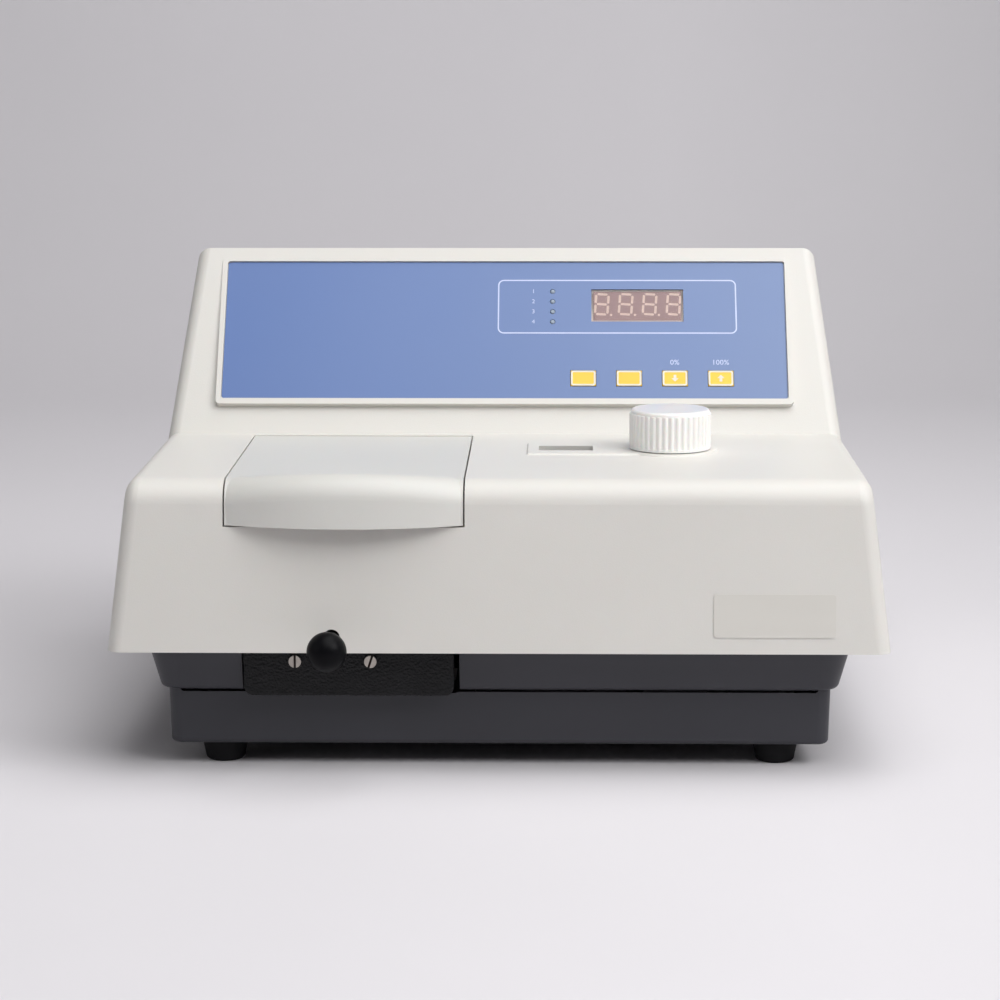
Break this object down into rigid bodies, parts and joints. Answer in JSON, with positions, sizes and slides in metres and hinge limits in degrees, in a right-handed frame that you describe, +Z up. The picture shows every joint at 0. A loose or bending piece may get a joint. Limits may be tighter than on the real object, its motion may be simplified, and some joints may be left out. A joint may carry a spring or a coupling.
{
  "type": "uv-vis spectrophotometer",
  "caption": "Bench spectrophotometer: sloped control tower, lidded sample chamber with pull-rod cell changer, wavelength knob and drum counter.",
  "frame": {"origin": "on the table under the middle of the whole object's box", "axes": "+X to the operator's right, +Y away from the operator, +Z up"},
  "size_m": [0.371, 0.368, 0.2342],
  "materials": {
    "ivory_plastic": "fine stipple",
    "black_plastic": "satin",
    "rubber": "matte",
    "screw_steel": "bright",
    "black_crackle": "fine crackle",
    "black_anodised": "matt black anodised",
    "steel_rod": "ground",
    "gloss_black": "polished",
    "foam": "foam",
    "spring_steel": "bright",
    "blue_film": "printed film",
    "smoked_acrylic": "tinted",
    "board": "solder mask",
    "display_plastic": "satin",
    "led_red": "diffused",
    "yellow_key": "satin",
    "label_film": "satin",
    "white_plastic": "gloss",
    "brass": "turned",
    "clear_acrylic": "clear",
    "drum_plastic": "satin",
    "frame_zinc": "plated",
    "cast_aluminium": "cast",
    "mirror": "polished",
    "quartz": "clear",
    "lamination": "varnished",
    "copper_coil": "varnished wire",
    "component_black": "moulded",
    "sheet_aluminium": "brushed",
    "fan_black": "moulded",
    "chrome": "plated"
  },
  "bodies": {
    "instrument": {"top_cover": "ivory_plastic", "hinge_pins": "steel_rod", "base_tray": "black_plastic", "feet": "rubber", "base_screws": "screw_steel", "slide_plate": "black_crackle", "plate_screws": "screw_steel", "sample_chamber": "black_anodised", "changer_guides": "steel_rod", "chamber_seal": "foam", "control_panel": "blue_film", "display_window": "smoked_acrylic", "display_board": "board", "digit_display": "display_plastic", "indicator_leds": "led_red", "label_plate": "label_film", "knob_bushing": "brass", "counter_lens": "clear_acrylic", "counter_frame": "frame_zinc", "monochromator": "cast_aluminium", "monochromator_cover": "black_anodised", "beam_tubes": "black_anodised", "mirrors": "mirror", "lamp_house": "sheet_aluminium", "lamps": "quartz", "detector_housing": "black_anodised", "photodiode": "component_black", "transformer_core": "lamination", "transformer_coil": "copper_coil", "circuit_boards": "board", "board_parts": "component_black", "rear_panel": "sheet_aluminium", "rear_screws": "screw_steel", "fan_frame": "fan_black", "fan_guard": "chrome", "power_inlet": "black_plastic", "inlet_pins": "chrome", "fuse_holder": "black_plastic", "serial_port": "frame_zinc", "switch_frame": "black_plastic"},
    "lid": {"lid": "ivory_plastic"},
    "changer": {"cell_holder": "black_anodised", "pull_rod": "steel_rod", "ball_knob": "gloss_black", "cell_springs": "spring_steel"},
    "knob": {"wavelength_knob": "white_plastic", "knob_shaft": "steel_rod"},
    "counter_ones": {"counter_shaft": "brass", "counter_drum_1": "drum_plastic"},
    "counter_tens": {"counter_drum_2": "drum_plastic"},
    "counter_hundreds": {"counter_drum_3": "drum_plastic"},
    "counter_thousands": {"counter_drum_4": "drum_plastic"},
    "grating": {"grating_table": "cast_aluminium"},
    "key_one": {"key_1": "yellow_key"},
    "key_two": {"key_2": "yellow_key"},
    "key_three": {"key_3": "yellow_key"},
    "key_four": {"key_4": "yellow_key"},
    "switch": {"rocker": "gloss_black"},
    "fan": {"fan_rotor": "fan_black"}
  },
  "joints": [
    {"name": "lid_hinge", "type": "hinge", "parent": "instrument", "child": "lid", "pos_m": [-0.07275, 0.005, 0.138], "axis": [-1, 0, 0], "range_deg": [0, 84]},
    {"name": "changer_slide", "type": "slide", "parent": "instrument", "child": "changer", "axis": [0, 1, 0], "range_m": [-0.045, 0]},
    {"name": "knob_turn", "type": "hinge", "parent": "instrument", "child": "knob", "pos_m": [0.0845, -0.038, 0.143], "axis": [0, 0, 1], "continuous": true},
    {"name": "counter_ones_turn", "type": "hinge", "parent": "instrument", "child": "counter_ones", "pos_m": [0.0321, -0.038, 0.1265], "axis": [1, 0, 0], "continuous": true},
    {"name": "counter_tens_turn", "type": "hinge", "parent": "instrument", "child": "counter_tens", "pos_m": [0.0321, -0.038, 0.1265], "axis": [1, 0, 0], "continuous": true},
    {"name": "counter_hundreds_turn", "type": "hinge", "parent": "instrument", "child": "counter_hundreds", "pos_m": [0.0321, -0.038, 0.1265], "axis": [1, 0, 0], "continuous": true},
    {"name": "counter_thousands_turn", "type": "hinge", "parent": "instrument", "child": "counter_thousands", "pos_m": [0.0321, -0.038, 0.1265], "axis": [1, 0, 0], "continuous": true},
    {"name": "grating_turn", "type": "hinge", "parent": "instrument", "child": "grating", "pos_m": [0.029, -0.038, 0.065], "axis": [0, 0, 1], "continuous": true},
    {"name": "key_one_press", "type": "slide", "parent": "instrument", "child": "key_one", "axis": [0, 0.829, -0.5592], "range_m": [0, 0.0004], "stiffness_N_per_m": 400, "springref_m": -0.0005},
    {"name": "key_two_press", "type": "slide", "parent": "instrument", "child": "key_two", "axis": [0, 0.829, -0.5592], "range_m": [0, 0.0004], "stiffness_N_per_m": 400, "springref_m": -0.0005},
    {"name": "key_three_press", "type": "slide", "parent": "instrument", "child": "key_three", "axis": [0, 0.829, -0.5592], "range_m": [0, 0.0004], "stiffness_N_per_m": 400, "springref_m": -0.0005},
    {"name": "key_four_press", "type": "slide", "parent": "instrument", "child": "key_four", "axis": [0, 0.829, -0.5592], "range_m": [0, 0.0004], "stiffness_N_per_m": 400, "springref_m": -0.0005},
    {"name": "switch_rock", "type": "hinge", "parent": "instrument", "child": "switch", "pos_m": [0.068, 0.18, 0.092], "axis": [-1, 0, 0], "range_deg": [0, 16]},
    {"name": "fan_spin", "type": "hinge", "parent": "instrument", "child": "fan", "pos_m": [-0.095, 0.174, 0.13], "axis": [0, 1, 0], "continuous": true}
  ],
  "couplings": [
    {"joint": "counter_ones_turn", "follows": "knob_turn", "ratio": -1},
    {"joint": "counter_tens_turn", "follows": "knob_turn", "ratio": -0.1},
    {"joint": "counter_hundreds_turn", "follows": "knob_turn", "ratio": -0.01},
    {"joint": "counter_thousands_turn", "follows": "knob_turn", "ratio": -0.001},
    {"joint": "grating_turn", "follows": "knob_turn", "ratio": 0.001}
  ]
}
